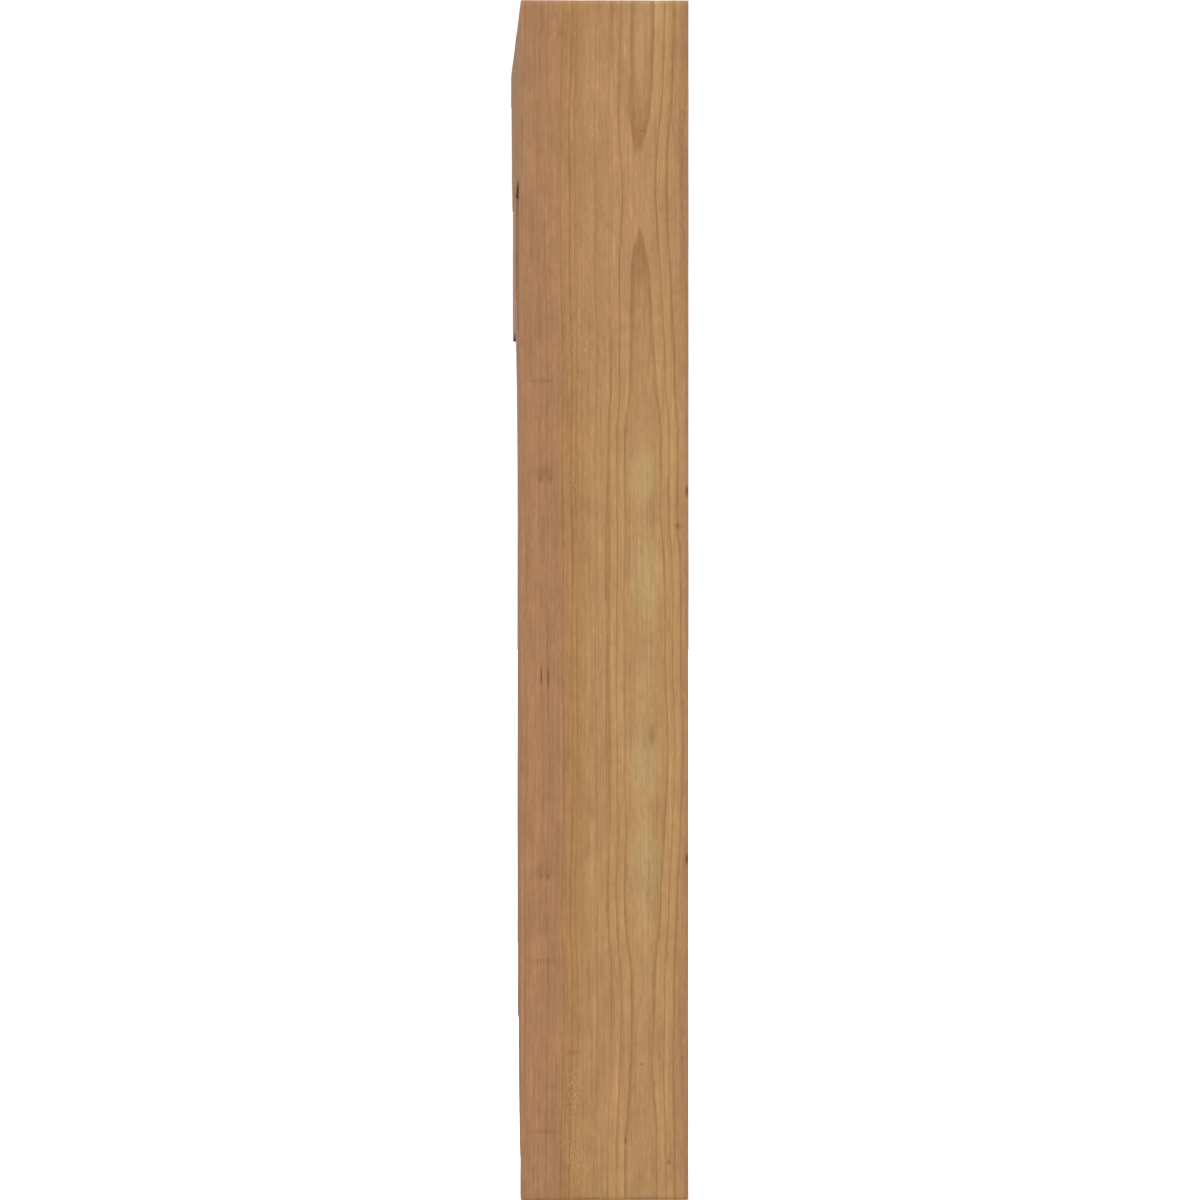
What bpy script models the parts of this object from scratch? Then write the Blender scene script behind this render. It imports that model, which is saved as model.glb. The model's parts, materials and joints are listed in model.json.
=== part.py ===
"""Timber bracket made of a wall post, a top beam and a curved brace. Lengths are in metres.

The back of the post lies flat on the wall at y = 0 and the bracket reaches out towards -Y.
X runs across the thickness of the timbers and Z is up. The origin is the centre of the face on the wall.
"""

from math import acos, asin, ceil, cos, pi, radians, sin

import bpy

# Overall sizes
WIDTH = 0.140  # thickness of all three timbers, across the bracket
HEIGHT = 1.000  # foot of the post to top of the beam
PROJECTION = 0.711  # wall to the far end of the beam
POST_DEPTH = 0.140  # from the wall to the front face of the post
BEAM_DEPTH = 0.140  # from the top of the beam to its underside

# The moulded end that the post's foot and the beam's tip share
END_FILLET = 0.032  # thickness of the square lip that carries on past the moulding
END_STEP = 0.032  # length of that lip

# The brace, a single curved piece with a window between it and the corner
NOSE_DROP = 0.120  # height of the nose under the beam
ARC_RADIUS = 0.178  # hollow curve on the open side
HEEL_DEPTH = 0.082  # from the post to the foot of the hollow curve
LEG_FLARE = 0.021  # how much deeper the leg grows on its way down
FOOT_DEPTH = 0.070  # from the post to the front of the foot
FOOT_LENGTH = 0.061  # height of the stepped foot
WAIST = 0.038  # timber left between the window and the hollow curve
WINDOW_REACH = 0.215  # from the post to the straight side of the window
WINDOW_DROP = 0.214  # from the beam to the sill of the window

# Finish and fit
ARRIS = 0.0008  # rounding of the sawn edges
ARRIS_SEGMENTS = 2
FIT_GAP = 0.0003  # clearance between two timbers that touch
CHORD_ANGLE = radians(4.0)  # longest straight step along a round stretch
SHARPEST_SMOOTH = radians(30.0)  # corners sharper than this count as edges
MERGE = 0.00001  # welds the caps of a filled outline to its sides

TIMBER_COLOUR = {
    "wall_post": (0.44, 0.245, 0.117, 1.0),
    "top_beam": (0.42, 0.230, 0.115, 1.0),
    "curved_brace": (0.40, 0.215, 0.110, 1.0),
}
TIMBER_ROUGHNESS = 0.62


def clear_scene():
    """Start from an empty scene."""
    for obj in list(bpy.data.objects):
        bpy.data.objects.remove(obj, do_unlink=True)


def make_collection(name):
    """Add a named collection to the scene."""
    collection = bpy.data.collections.new(name)
    bpy.context.scene.collection.children.link(collection)
    return collection


def timber_material(name):
    """Plain sawn softwood for one piece."""
    material = bpy.data.materials.new(name + "_timber")
    material.use_nodes = True
    shader = material.node_tree.nodes["Principled BSDF"]
    shader.inputs["Base Color"].default_value = TIMBER_COLOUR[name]
    shader.inputs["Roughness"].default_value = TIMBER_ROUGHNESS
    shader.inputs["Metallic"].default_value = 0.0
    return material


def arc(centre, radius, start, end):
    """Points on a circle from one angle to another, both ends included."""
    steps = max(1, ceil(abs(end - start) / CHORD_ANGLE))
    turns = [start + (end - start) * i / steps for i in range(steps + 1)]
    return [(centre[0] + radius * cos(t), centre[1] + radius * sin(t)) for t in turns]


def round_start(length, depth):
    """How far along a timber its moulded end begins to curve away."""
    return length - END_STEP - (depth - END_FILLET)


def moulded_timber(length, depth):
    """Side outline of a timber as (along, across), with a lip and a quarter round at its far end.

    The lip is on the side where across is 0.
    """
    centre = (round_start(length, depth), END_FILLET)
    quarter_round = arc(centre, depth - END_FILLET, pi / 2, 0.0)
    square_lip = [(length, END_FILLET), (length, 0.0)]
    return [(0.0, 0.0), (0.0, depth)] + quarter_round + square_lip


def post_outline():
    """The post hangs down from its top back corner, with the lip against the wall."""
    return [(across, -along) for along, across in moulded_timber(HEIGHT, POST_DEPTH)]


def beam_outline():
    """The beam runs out from the front face of the post, with the lip along its top."""
    length = PROJECTION - POST_DEPTH - FIT_GAP
    return [(along, -across) for along, across in moulded_timber(length, BEAM_DEPTH)]


def brace_outline():
    """The brace starts in the corner under the beam. Its nose and foot end where the mouldings begin."""
    reach = round_start(PROJECTION, BEAM_DEPTH) - POST_DEPTH - FIT_GAP
    length = round_start(HEIGHT, POST_DEPTH) - BEAM_DEPTH - FIT_GAP
    centre = (HEEL_DEPTH + ARC_RADIUS, -(NOSE_DROP + ARC_RADIUS))
    foot_top = FOOT_LENGTH - length

    nose = [(WINDOW_REACH, 0.0), (reach, 0.0)]
    if reach > centre[0]:
        nose.append((reach, -NOSE_DROP))
    hollow_start = acos(min(reach - centre[0], 0.0) / ARC_RADIUS)
    hollow = arc(centre, ARC_RADIUS, hollow_start, pi)
    leg = [(HEEL_DEPTH + LEG_FLARE, foot_top), (FOOT_DEPTH, foot_top)]
    foot = [(FOOT_DEPTH, -length), (0.0, -length), (0.0, -WINDOW_DROP)]

    window_radius = ARC_RADIUS + WAIST
    sill_end = pi - asin((-WINDOW_DROP - centre[1]) / window_radius)
    side_end = acos((WINDOW_REACH - centre[0]) / window_radius)
    window = arc(centre, window_radius, sill_end, side_end)
    return nose + hollow + leg + foot + window


def add_piece(name, outline, place, parent, collection):
    """Saw one timber: a flat side outline, given its thickness across the bracket."""
    curve = bpy.data.curves.new(name, "CURVE")
    curve.dimensions = "2D"
    curve.fill_mode = "BOTH"
    curve.extrude = WIDTH / 2
    spline = curve.splines.new("POLY")
    spline.points.add(len(outline) - 1)
    for point, (out, up) in zip(spline.points, outline):
        point.co = (out, up, 0.0, 1.0)
    spline.use_cyclic_u = True
    curve.materials.append(timber_material(name))

    piece = bpy.data.objects.new(name, curve)
    piece.location = place
    # The outline's x axis turns to point away from the wall, and its y axis to point up.
    piece.rotation_euler = (pi / 2, 0.0, -pi / 2)
    piece.parent = parent
    collection.objects.link(piece)

    weld = piece.modifiers.new("weld_caps", "WELD")
    weld.merge_threshold = MERGE
    bevel = piece.modifiers.new("eased_edges", "BEVEL")
    bevel.width = ARRIS
    bevel.segments = ARRIS_SEGMENTS
    bevel.limit_method = "ANGLE"
    bevel.angle_limit = SHARPEST_SMOOTH
    return piece


def build():
    """Make the three timbers, hung from an empty at the centre of the wall face."""
    clear_scene()
    collection = make_collection("wooden_bracket")
    wall_centre = bpy.data.objects.new("wall_centre", None)
    collection.objects.link(wall_centre)

    top = HEIGHT / 2
    post_front = -(POST_DEPTH + FIT_GAP)
    beam_underside = top - BEAM_DEPTH - FIT_GAP
    add_piece("wall_post", post_outline(), (0.0, 0.0, top), wall_centre, collection)
    add_piece("top_beam", beam_outline(), (0.0, post_front, top), wall_centre, collection)
    add_piece("curved_brace", brace_outline(), (0.0, post_front, beam_underside), wall_centre, collection)


build()
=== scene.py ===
# %% [markdown]
# # A timber bracket with a curved brace
# The bracket holds up an eave or a shelf. A post stands against the wall, a beam runs out from its top,
# and one curved sawn brace fills the corner between them. All three are bare, smooth softwood.
# The photograph looks straight at the back of the post, so most of this lesson goes into one flat
# timber face: its growth rings, its fibres and its colour.

# %% Load the fixed frame
import json
from math import acos, asin, ceil, cos, pi, radians, sin

import bmesh
import bpy
from mathutils import Euler, Matrix, Vector

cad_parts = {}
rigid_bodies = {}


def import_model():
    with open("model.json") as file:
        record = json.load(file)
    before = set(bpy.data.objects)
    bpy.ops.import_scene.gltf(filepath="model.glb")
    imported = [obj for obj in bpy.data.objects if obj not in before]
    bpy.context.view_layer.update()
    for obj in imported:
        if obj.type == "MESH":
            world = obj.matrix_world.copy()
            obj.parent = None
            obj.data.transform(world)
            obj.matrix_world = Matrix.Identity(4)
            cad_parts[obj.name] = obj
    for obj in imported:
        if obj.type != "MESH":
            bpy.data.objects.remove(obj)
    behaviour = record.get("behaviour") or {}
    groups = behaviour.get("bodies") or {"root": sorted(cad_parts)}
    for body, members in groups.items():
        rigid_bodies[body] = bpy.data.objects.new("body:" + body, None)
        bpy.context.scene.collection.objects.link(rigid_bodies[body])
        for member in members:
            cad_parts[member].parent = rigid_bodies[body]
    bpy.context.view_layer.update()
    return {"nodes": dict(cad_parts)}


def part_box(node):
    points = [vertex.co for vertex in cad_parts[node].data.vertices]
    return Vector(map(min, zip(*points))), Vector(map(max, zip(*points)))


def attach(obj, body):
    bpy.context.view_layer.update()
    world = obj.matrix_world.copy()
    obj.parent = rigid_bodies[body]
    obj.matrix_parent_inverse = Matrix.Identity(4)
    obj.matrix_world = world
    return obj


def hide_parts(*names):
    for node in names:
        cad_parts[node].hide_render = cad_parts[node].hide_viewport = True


for obj in list(bpy.data.objects):
    bpy.data.objects.remove(obj, do_unlink=True)
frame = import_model()
print("frame loaded:", sorted(frame["nodes"]))

# %% [markdown]
# ## Sizes
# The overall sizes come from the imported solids, so the looks always fit them. The moulding and the
# curves of the brace can't be read from a box, so they are named here in metres.

# %% Sizes of the three timbers
post_low, post_high = (Vector(corner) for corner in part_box("wall_post"))
beam_low, beam_high = (Vector(corner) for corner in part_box("top_beam"))
brace_low, brace_high = (Vector(corner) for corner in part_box("curved_brace"))

WIDTH = post_high.x - post_low.x
HEIGHT = post_high.z - post_low.z
POST_DEPTH = post_high.y - post_low.y
BEAM_LENGTH = beam_high.y - beam_low.y
BEAM_DEPTH = beam_high.z - beam_low.z
BRACE_REACH = brace_high.y - brace_low.y
BRACE_LENGTH = brace_high.z - brace_low.z

END_LIP = 0.032
END_STEP = 0.032
NOSE_DROP = 0.120
ARC_RADIUS = 0.178
HEEL_DEPTH = 0.082
LEG_FLARE = 0.021
FOOT_DEPTH = 0.070
FOOT_LENGTH = 0.061
WAIST = 0.038
WINDOW_REACH = 0.215
WINDOW_DROP = 0.214
ARRIS = 0.0008
print("post", round(HEIGHT, 3), "m tall, beam", round(BEAM_LENGTH, 3), "m long")

# %% [markdown]
# ## Camera
# A long lens stands five metres behind the wall face, at half height and a little to one side, and
# turns slightly back to the post. That small offset is what shows a sliver of the left sides.

# %% Camera at the photograph's place
PHOTO_SIDE = 1200
FOCAL_PIXELS = 5944
SENSOR = 36.0
CAMERA_PLACE = Vector((0.134, 4.952, 0.0))
CAMERA_TARGET = Vector((0.0039, 0.0, 0.0))
FARTHEST_SEEN = 60.0

camera = bpy.data.objects.new("camera", bpy.data.cameras.new("camera"))
camera.data.sensor_width = SENSOR
camera.data.lens = SENSOR * FOCAL_PIXELS / PHOTO_SIDE
camera.data.clip_end = FARTHEST_SEEN
camera.location = CAMERA_PLACE
camera.rotation_euler = (CAMERA_TARGET - CAMERA_PLACE).to_track_quat("-Z", "Y").to_euler()
bpy.context.scene.collection.objects.link(camera)
bpy.context.scene.camera = camera
print("lens", round(camera.data.lens, 1), "mm")

# %% [markdown]
# ## Small helpers for node trees
# Materials and Geometry Nodes are both trees of nodes. These helpers add a node, plug a value or
# another node's output into a socket, and wrap the few operations that wood needs again and again.


# %% Node helpers
def add(tree, kind, **settings):
    """Add a node and set its own properties."""
    node = tree.nodes.new(kind)
    for name, value in settings.items():
        setattr(node, name, value)
    return node


def plug(tree, socket, value):
    """Link a socket to another node's output, or give it a plain value."""
    if isinstance(value, bpy.types.NodeSocket):
        tree.links.new(value, socket)
    else:
        socket.default_value = value


def made(tree, kind, sockets=None, **settings):
    """Add a node, plug its sockets by name and give its first output."""
    node = add(tree, kind, **settings)
    for name, value in (sockets or {}).items():
        plug(tree, node.inputs[name], value)
    return node.outputs[0]


def maths(tree, operation, *values):
    """One Math node, given its inputs in order."""
    node = add(tree, "ShaderNodeMath", operation=operation)
    for socket, value in zip(node.inputs, values):
        plug(tree, socket, value)
    return node.outputs[0]


def vectors(tree, operation, *values):
    """One Vector Math node. Lengths and dot products come back as a single value."""
    node = add(tree, "ShaderNodeVectorMath", operation=operation)
    for socket, value in zip(node.inputs, values):
        plug(tree, socket, value)
    single = operation in ("LENGTH", "DOT_PRODUCT")
    return node.outputs["Value" if single else "Vector"]


def remap(tree, value, low, high, to_low=0.0, to_high=1.0, soft=True):
    """Stretch a value from one range to another, softly at both ends, and clamp it."""
    kind = "SMOOTHSTEP" if soft else "LINEAR"
    sockets = {"Value": value, "From Min": low, "From Max": high, "To Min": to_low, "To Max": to_high}
    return made(tree, "ShaderNodeMapRange", sockets, interpolation_type=kind)


def noise(tree, vector, detail=2.0, roughness=0.5, output="Fac"):
    """Noise that varies about once for each unit of the vector given."""
    node = add(tree, "ShaderNodeTexNoise", noise_dimensions="3D")
    plug(tree, node.inputs["Vector"], vector)
    plug(tree, node.inputs["Scale"], 1.0)
    plug(tree, node.inputs["Detail"], detail)
    plug(tree, node.inputs["Roughness"], roughness)
    return node.outputs[output]


def scaled(tree, vector, factor):
    """A vector or colour made longer or brighter by one factor."""
    return made(tree, "ShaderNodeVectorMath", {"Vector": vector, "Scale": factor}, operation="SCALE")


def combined(tree, x=0.0, y=0.0, z=0.0):
    """A vector from its parts."""
    return made(tree, "ShaderNodeCombineXYZ", {"X": x, "Y": y, "Z": z})


def split(tree, vector):
    """The X, Y and Z of a vector."""
    node = add(tree, "ShaderNodeSeparateXYZ")
    plug(tree, node.inputs["Vector"], vector)
    return node.outputs


# A Mix node has sockets of the same name for each kind of value. These are the places of the colours.
MIX_FACTOR, COLOUR_A, COLOUR_B, COLOUR_OUT = 0, 6, 7, 2


def mixed(tree, factor, first, second, blend="MIX"):
    """Mix two colours."""
    node = add(tree, "ShaderNodeMix", data_type="RGBA", blend_type=blend)
    plug(tree, node.inputs[MIX_FACTOR], factor)
    plug(tree, node.inputs[COLOUR_A], first)
    plug(tree, node.inputs[COLOUR_B], second)
    return node.outputs[COLOUR_OUT]


def new_tree(name, kind, inputs, outputs):
    """A node group with named sockets. Each socket is (name, type, default value or None)."""
    tree = bpy.data.node_groups.new(name, kind)
    for side, sockets in (("INPUT", inputs), ("OUTPUT", outputs)):
        for socket_name, socket_type, default in sockets:
            socket = tree.interface.new_socket(socket_name, in_out=side, socket_type=socket_type)
            if default is not None:
                socket.default_value = default
    return tree, tree.nodes.new("NodeGroupInput").outputs, tree.nodes.new("NodeGroupOutput").inputs


FLOAT = "NodeSocketFloat"
INTEGER = "NodeSocketInt"
VECTOR = "NodeSocketVector"
GEOMETRY = "NodeSocketGeometry"
MATERIAL = "NodeSocketMaterial"
print("helpers ready")

# %% [markdown]
# ## Growth rings
# A tree adds one ring a year: wide pale earlywood, then a thin dark band of latewood that stops
# sharply. In a sawn timber each ring is part of a tube around the tree's pith, so the distance from
# the pith line says which year a point grew in. The first group measures that distance, the second
# turns a count of years into latewood. Every face then shows the same rings, end grain too.

# %% Growth ring groups
# How often the pith line wanders and the rings ripple, in times per metre along X, Y and Z.
WANDERS_PER_METRE = (12.0, 12.0, 16.0)
WANDER_SHARES = (1.0, 0.2, 0.0)
ACROSS_GRAIN = (1.0, 1.0, 0.0)
RIPPLES_PER_METRE = (260.0, 260.0, 45.0)
# Places in a ring, from 0 at its inner edge to 1 at its outer edge.
HAZE_START = 0.1
HAZE_FULL = 0.8
LATE_FULL = 0.95
LATE_STOP = 0.96
HAZE_SHARE = 0.15
LATE_SHARE = 0.85


def make_radius_group():
    """The distance from a pith line that wanders along its length."""
    tree, given, result = new_tree(
        "pith_distance", "ShaderNodeTree",
        [("Position", VECTOR, None), ("Pith X", FLOAT, 0.0), ("Pith Y", FLOAT, 0.0),
         ("Wander", FLOAT, 0.001), ("Ripple", FLOAT, 0.0003)],
        [("Radius", FLOAT, None)])
    position = given["Position"]
    slow = noise(tree, vectors(tree, "MULTIPLY", position, WANDERS_PER_METRE), 2.0, output="Color")
    centred = vectors(tree, "SUBTRACT", slow, (0.5, 0.5, 0.5))
    drift = vectors(tree, "MULTIPLY", centred, WANDER_SHARES)
    moved = vectors(tree, "ADD", position, scaled(tree, drift, maths(tree, "MULTIPLY", given["Wander"], 2.0)))
    pith = combined(tree, given["Pith X"], given["Pith Y"])
    across = vectors(tree, "MULTIPLY", vectors(tree, "SUBTRACT", moved, pith), ACROSS_GRAIN)
    fine = noise(tree, vectors(tree, "MULTIPLY", position, RIPPLES_PER_METRE), 2.0)
    radius = maths(tree, "MULTIPLY_ADD", maths(tree, "SUBTRACT", fine, 0.5), given["Ripple"],
                   vectors(tree, "LENGTH", across))
    plug(tree, result["Radius"], radius)
    return tree


def make_ring_group():
    """The latewood of each year: a slow haze, a quick rise and a sharp stop."""
    tree, given, result = new_tree(
        "growth_rings", "ShaderNodeTree",
        [("Years", FLOAT, 0.0), ("Late Start", FLOAT, 0.78), ("Darkness", FLOAT, 1.0)],
        [("Latewood", FLOAT, None), ("Ring Tone", FLOAT, None)])
    part = maths(tree, "FRACT", given["Years"])
    rise = remap(tree, part, given["Late Start"], LATE_FULL)
    haze = maths(tree, "MULTIPLY", remap(tree, part, HAZE_START, HAZE_FULL), HAZE_SHARE)
    stop = remap(tree, part, LATE_STOP, 1.0, 1.0, 0.0)
    both = maths(tree, "MULTIPLY_ADD", rise, LATE_SHARE, haze)
    dark = maths(tree, "MULTIPLY", both, given["Darkness"])
    plug(tree, result["Latewood"], maths(tree, "MULTIPLY", dark, stop))
    year = maths(tree, "FLOOR", given["Years"])
    plug(tree, result["Ring Tone"], made(tree, "ShaderNodeTexWhiteNoise", {"W": year}, noise_dimensions="1D"))
    return tree


RADIUS_GROUP = make_radius_group()
RING_GROUP = make_ring_group()
print("growth ring groups:", len(RADIUS_GROUP.nodes), "and", len(RING_GROUP.nodes), "nodes")

# %% [markdown]
# ## Fibres and flecks
# Between the rings, wood is a bundle of long fibres. Noise that is stretched along the grain gives
# their fine streaks: some as long as a hand, some only as long as a fingernail. Short noise cut off
# at a threshold gives the pale flecks that catch the light, and they come in clusters.

# %% Fibre group
# Each layer of streaks: how often it varies per metre along X, Y and Z, and its share of the whole.
FIBRE_LAYERS = (
    ((800.0, 800.0, 9.0), 0.20),
    ((400.0, 400.0, 7.0), 0.26),
    ((560.0, 560.0, 60.0), 0.26),
    ((190.0, 190.0, 26.0), 0.10),
    ((240.0, 240.0, 130.0), 0.18),
)
FIBRE_ROUGHNESS = 0.6
FLECKS_PER_METRE = (640.0, 640.0, 300.0)
CLUSTERS_PER_METRE = (20.0, 20.0, 11.0)
CLUSTER_RANGE = (0.38, 0.65)
CLOUDS_PER_METRE = (60.0, 60.0, 20.0)
# A fleck shows where its noise passes a threshold, which sinks where more flecks are wanted.
FLECK_THRESHOLD = 0.78
FLECK_REACH = 0.20
FLECK_EDGE = 0.10


def make_fibre_group():
    """Streaks along the grain, pale flecks, and soft clouds of light and dark."""
    tree, given, result = new_tree(
        "fibres", "ShaderNodeTree",
        [("Position", VECTOR, None), ("Fleck Amount", FLOAT, 0.5), ("Fleck Cluster", FLOAT, 0.0)],
        [("Streak", FLOAT, None), ("Fleck", FLOAT, None), ("Cloud", FLOAT, None)])
    position = given["Position"]
    streak = 0.0
    for per_metre, share in FIBRE_LAYERS:
        layer = noise(tree, vectors(tree, "MULTIPLY", position, per_metre), 2.0, FIBRE_ROUGHNESS)
        streak = maths(tree, "MULTIPLY_ADD", layer, share, streak)
    plug(tree, result["Streak"], streak)
    speck = noise(tree, vectors(tree, "MULTIPLY", position, FLECKS_PER_METRE), 1.0)
    cluster = noise(tree, vectors(tree, "MULTIPLY", position, CLUSTERS_PER_METRE), 1.0)
    scattered = maths(tree, "MULTIPLY", given["Fleck Amount"], remap(tree, cluster, *CLUSTER_RANGE))
    amount = maths(tree, "ADD", scattered, given["Fleck Cluster"])
    threshold = maths(tree, "SUBTRACT", FLECK_THRESHOLD, maths(tree, "MULTIPLY", amount, FLECK_REACH))
    full = maths(tree, "ADD", threshold, FLECK_EDGE)
    plug(tree, result["Fleck"], remap(tree, speck, threshold, full))
    cloud = noise(tree, vectors(tree, "MULTIPLY", position, CLOUDS_PER_METRE), 2.0)
    plug(tree, result["Cloud"], cloud)
    return tree


FIBRE_GROUP = make_fibre_group()
print("fibre group:", len(FIBRE_GROUP.nodes), "nodes")

# %% [markdown]
# ## Marks in the wood
# Pale lenses, pin knots and short dark streaks are small ellipsoids inside the timber. Where a face
# cuts one, its mark shows. A soft ellipsoid mask, placed by its centre and half sizes, does them all.

# %% Mark group
# A mark is full out to this share of its half size.
MARK_CORE = 0.2


def make_mark_group():
    """A mask that is full in the middle of an ellipsoid and fades out towards its surface."""
    tree, given, result = new_tree(
        "mark", "ShaderNodeTree",
        [("Position", VECTOR, None), ("Centre", VECTOR, None), ("Half Size", VECTOR, (0.01, 0.01, 0.01))],
        [("Mask", FLOAT, None)])
    offset = vectors(tree, "SUBTRACT", given["Position"], given["Centre"])
    distance = vectors(tree, "LENGTH", vectors(tree, "DIVIDE", offset, given["Half Size"]))
    plug(tree, result["Mask"], remap(tree, distance, MARK_CORE, 1.0, 1.0, 0.0))
    return tree


MARK_GROUP = make_mark_group()
print("mark group ready")

# %% [markdown]
# ## End grain, saw marks and worn edges
# End grain drinks light, so it is darker, and how far a face turns across the fibres says how much of
# it shows. The curved faces were cut with a band saw, which leaves fine lines across the thickness.
# Handling rounds and pales the sharp edges. The mesh carries how sharp it is in an attribute.

# %% Surface group
# A sine of this angle makes the saw lines, one every 2.6 mm out or up, and they wobble a little.
SAW_ANGLE_PER_METRE = 2400.0
SAW_WOBBLE = 3.0
SAW_WOBBLES_PER_METRE = (40.0, 90.0, 90.0)
RUBS_PER_METRE = (45.0, 45.0, 45.0)
RUB_RANGE = (0.35, 0.65)
# How far a face must turn before end grain shows, or before it counts as a curved cut.
END_GRAIN_TURN = (0.25, 0.95)
CURVED_TURN = (0.02, 0.25)


def make_surface_group():
    """Where end grain, saw lines and rubbed arrises show."""
    tree, given, result = new_tree(
        "cut_surface", "ShaderNodeTree",
        [("Position", VECTOR, None), ("Normal", VECTOR, None), ("Grain", VECTOR, (0.0, 0.0, 1.0)),
         ("Arris", FLOAT, 0.0)],
        [("End Grain", FLOAT, None), ("Saw Lines", FLOAT, None), ("Wear", FLOAT, None)])
    facing = maths(tree, "ABSOLUTE", vectors(tree, "DOT_PRODUCT", given["Normal"], given["Grain"]))
    plug(tree, result["End Grain"], remap(tree, facing, *END_GRAIN_TURN))

    normal = split(tree, given["Normal"])
    turned = maths(tree, "ABSOLUTE", maths(tree, "MULTIPLY", normal["Y"], normal["Z"]))
    curved = remap(tree, turned, *CURVED_TURN)
    place = split(tree, given["Position"])
    wobble = noise(tree, vectors(tree, "MULTIPLY", given["Position"], SAW_WOBBLES_PER_METRE), 1.0)
    feed = maths(tree, "MULTIPLY", maths(tree, "SUBTRACT", place["Y"], place["Z"]), SAW_ANGLE_PER_METRE)
    angle = maths(tree, "MULTIPLY_ADD", wobble, SAW_WOBBLE, feed)
    plug(tree, result["Saw Lines"], maths(tree, "MULTIPLY", maths(tree, "SINE", angle), curved))

    patchy = noise(tree, vectors(tree, "MULTIPLY", given["Position"], RUBS_PER_METRE), 3.0)
    rubbed = maths(tree, "MULTIPLY", given["Arris"], remap(tree, patchy, *RUB_RANGE))
    plug(tree, result["Wear"], rubbed)
    return tree


SURFACE_GROUP = make_surface_group()
print("surface group ready")

# %% [markdown]
# ## The timber material
# One function makes the wood for all three pieces, with values for each. Colours are given as the
# screen shows them and turned into linear light. A group is placed by name, with its values. A curve
# node turns a place along the timber into a length, so one list of points can bend the pith line.


# %% Colours, groups and curves
def screen(red, green, blue):
    """A colour given in screen values of 0 to 255, as linear light."""
    linear = [((value / 255 + 0.055) / 1.055) ** 2.4 for value in (red, green, blue)]
    return (*linear, 1.0)


def group(tree, node_tree, **inputs):
    """Place a group and plug its inputs. An underscore in a name stands for a space."""
    node = add(tree, "ShaderNodeGroup", node_tree=node_tree)
    for name, value in inputs.items():
        plug(tree, node.inputs[name.replace("_", " ")], value)
    return node.outputs


def curve_of(tree, value, points, handle="AUTO"):
    """A curve through (value, height) points, both from 0 to 1."""
    node = add(tree, "ShaderNodeFloatCurve")
    plug(tree, node.inputs["Value"], value)
    line = node.mapping.curves[0]
    for place, height in points[1:-1]:
        line.points.new(place, height)
    line.points[0].location = points[0]
    line.points[len(points) - 1].location = points[-1]
    for point in line.points:
        point.handle_type = handle
    node.mapping.update()
    return node.outputs["Value"]


def along_grain(tree, share, by_share, span):
    """A length that changes along the timber, from points of (share of the way up, length)."""
    low, high = span
    points = [(place, (length - low) / (high - low)) for place, length in by_share]
    return maths(tree, "MULTIPLY_ADD", curve_of(tree, share, points), high - low, low)


print("white is", screen(255, 255, 255)[:3], "and mid grey is", round(screen(128, 128, 128)[0], 3))

# %% [markdown]
# ### Counting the rings
# Real rings differ: a good year is wide, a dry one narrow, and some hardly darken. So a curve with
# straight steps turns the distance from the pith into a count of years. A colour ramp that doesn't
# blend then serves as a table: its red says where each ring's latewood starts, its green how dark.


# %% Ring counts
def count_years(tree, offset, ring_edges):
    """How many rings lie inside a radius, when each ring's outer edge is given."""
    first = ring_edges[0]
    span = ring_edges[-1] - first
    count = len(ring_edges) - 1
    points = [((edge - first) / span, number / count) for number, edge in enumerate(ring_edges)]
    share = maths(tree, "DIVIDE", maths(tree, "SUBTRACT", offset, first), span)
    return maths(tree, "MULTIPLY", curve_of(tree, share, points, "VECTOR"), float(count))


MOST_DARKNESS = 2.0


def ring_habit(tree, years, habits):
    """Each ring's own latewood: where in the ring it starts, and how dark it gets."""
    table = add(tree, "ShaderNodeValToRGB")
    table.color_ramp.interpolation = "CONSTANT"
    while len(table.color_ramp.elements) < len(habits):
        table.color_ramp.elements.new(0.5)
    for number, (start, darkness) in enumerate(habits):
        element = table.color_ramp.elements[number]
        element.position = number / len(habits)
        element.color = (start, darkness / MOST_DARKNESS, 0.0, 1.0)
    middle = maths(tree, "ADD", maths(tree, "FLOOR", years), 0.5)
    plug(tree, table.inputs["Fac"], maths(tree, "DIVIDE", middle, float(len(habits))))
    parts = add(tree, "ShaderNodeSeparateColor")
    plug(tree, parts.inputs[0], table.outputs["Color"])
    return parts.outputs["Red"], maths(tree, "MULTIPLY", parts.outputs["Green"], MOST_DARKNESS)


def rings_of(tree, position, look):
    """How far a point lies outside the ring edge at 0.0, and the rings there."""
    share = remap(tree, split(tree, position)["Z"], -0.5, 0.5, soft=False)
    pith_x = along_grain(tree, share, look["pith_x"], look["pith_x_span"])
    nearness = along_grain(tree, share, look["nearness"], look["nearness_span"])
    distance = group(tree, RADIUS_GROUP, Position=position, Pith_X=pith_x, Pith_Y=look["pith_y"],
                     Wander=look["wander"], Ripple=look["ripple"])
    reach = maths(tree, "ADD", nearness, abs(look["pith_y"]))
    offset = maths(tree, "SUBTRACT", distance["Radius"], reach)
    years = count_years(tree, offset, look["ring_edges"])
    start, darkness = ring_habit(tree, years, look["ring_habits"])
    return offset, group(tree, RING_GROUP, Years=years, Late_Start=start, Darkness=darkness)


print("ring helpers ready")

# %% [markdown]
# ### Bands, marks and faint places
# Heartwood and sapwood differ, and so do years with much or little resin. A colour ramp over the
# distance from the pith gives each band its colour, and its alpha says how many flecks it holds.
# Marks are mixed over that. Where rings stay faint, a mask takes most of the latewood away.

# %% Bands and marks
CLUSTER_SHARE = 0.6
PATCH_RANGE = (0.3, 0.7)
PATCHES = (0.7, 1.3)


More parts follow.
